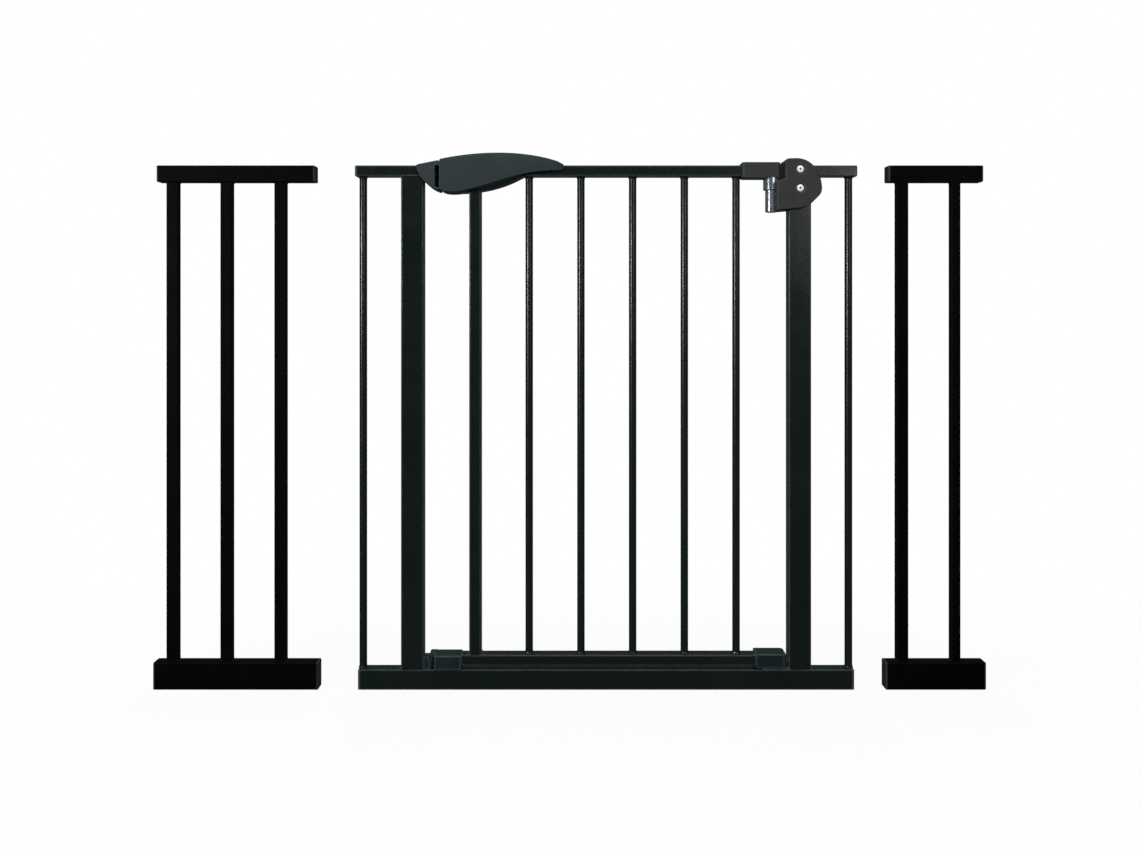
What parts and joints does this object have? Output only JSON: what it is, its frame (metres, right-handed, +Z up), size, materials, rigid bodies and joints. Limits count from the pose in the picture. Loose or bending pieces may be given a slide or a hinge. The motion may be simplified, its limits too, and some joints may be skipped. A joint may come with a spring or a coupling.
{
  "type": "safety baby gate",
  "caption": "Pressure-fit walk-through safety gate: tubular steel frame, barred door that swings both ways and lifts, slide latch in a curved handle, and extension panels.",
  "frame": {"origin": "on the floor, under the middle of the passage between the two posts and half-way through the frame's depth", "axes": "+X along the gate from the latch post to the hinge post, +Y from front to back through the passage, +Z up"},
  "size_m": [1.21, 0.044, 0.7789],
  "materials": {
    "painted_steel": "black powder coat, satin",
    "panel_paint": "black powder coat, satin",
    "handle_plastic": "fine-grained dark slate plastic",
    "hinge_plastic": "fine-grained charcoal plastic",
    "block_plastic": "moulded black plastic",
    "grip_plastic": "smooth black plastic",
    "plug_plastic": "moulded black plastic",
    "zinc": "bright zinc plate",
    "spring_steel": "oiled spring steel"
  },
  "bodies": {
    "frame": {"bottom_rail": "painted_steel", "left_post": "painted_steel", "right_post": "painted_steel", "left_top_stub": "painted_steel", "right_top_stub": "painted_steel", "left_outer_bar": "painted_steel", "right_outer_bar": "painted_steel", "lower_hinge_bracket": "painted_steel", "left_lower_plug": "plug_plastic", "left_upper_plug": "plug_plastic", "right_lower_plug": "plug_plastic", "right_upper_plug": "plug_plastic", "catch_front_cover": "handle_plastic", "catch_rear_cover": "handle_plastic", "hinge_front_cover": "hinge_plastic", "hinge_rear_cover": "hinge_plastic", "hinge_barrel": "painted_steel", "bottom_catch_lug": "block_plastic", "strike_plate": "zinc", "hinge_screw_upper": "zinc", "hinge_screw_lower": "zinc"},
    "hinge_pins": {"upper_hinge_pin": "zinc", "lower_hinge_pin": "zinc", "closing_spring": "spring_steel"},
    "door": {"door_top_rail": "painted_steel", "door_bottom_rail": "painted_steel", "door_stile": "painted_steel", "door_bar_1": "painted_steel", "door_bar_2": "painted_steel", "door_bar_3": "painted_steel", "door_bar_4": "painted_steel", "door_bar_5": "painted_steel", "door_hinge_casing": "hinge_plastic", "lower_hinge_block": "block_plastic", "lower_latch_block": "block_plastic", "handle_front_cover": "handle_plastic", "handle_rear_cover": "handle_plastic", "grip_insert": "grip_plastic", "handle_screw_lower": "zinc", "handle_screw_upper": "zinc", "detent_spring": "spring_steel"},
    "thumb_slide": {"thumb_button": "grip_plastic", "latch_bolt": "zinc"},
    "left_panel": {"left_panel_bottom_rail": "panel_paint", "left_panel_top_rail": "panel_paint", "left_panel_bar_1": "panel_paint", "left_panel_bar_2": "panel_paint", "left_panel_bar_3": "panel_paint", "left_panel_lower_gate_plug": "plug_plastic", "left_panel_lower_wall_plug": "plug_plastic", "left_panel_upper_gate_plug": "plug_plastic", "left_panel_upper_wall_plug": "plug_plastic"},
    "right_panel": {"right_panel_bottom_rail": "panel_paint", "right_panel_top_rail": "panel_paint", "right_panel_bar_1": "panel_paint", "right_panel_bar_2": "panel_paint", "right_panel_lower_gate_plug": "plug_plastic", "right_panel_lower_wall_plug": "plug_plastic", "right_panel_upper_gate_plug": "plug_plastic", "right_panel_upper_wall_plug": "plug_plastic"}
  },
  "joints": [
    {"name": "door_swing", "type": "hinge", "parent": "frame", "child": "hinge_pins", "pos_m": [0.2415, 0, 0], "axis": [0, 0, 1], "range_deg": [-90, 90], "stiffness_Nm_per_rad": 1.5},
    {"name": "door_lift", "type": "slide", "parent": "hinge_pins", "child": "door", "axis": [0, 0, 1], "range_m": [0, 0.01]},
    {"name": "thumb_slide_latch", "type": "slide", "parent": "door", "child": "thumb_slide", "axis": [1, 0, 0], "range_m": [-0.009, 0]},
    {"name": "left_panel_dock", "type": "slide", "parent": "frame", "child": "left_panel", "axis": [1, 0, 0], "range_m": [0, 0.0565]},
    {"name": "right_panel_dock", "type": "slide", "parent": "frame", "child": "right_panel", "axis": [-1, 0, 0], "range_m": [0, 0.0445]}
  ]
}
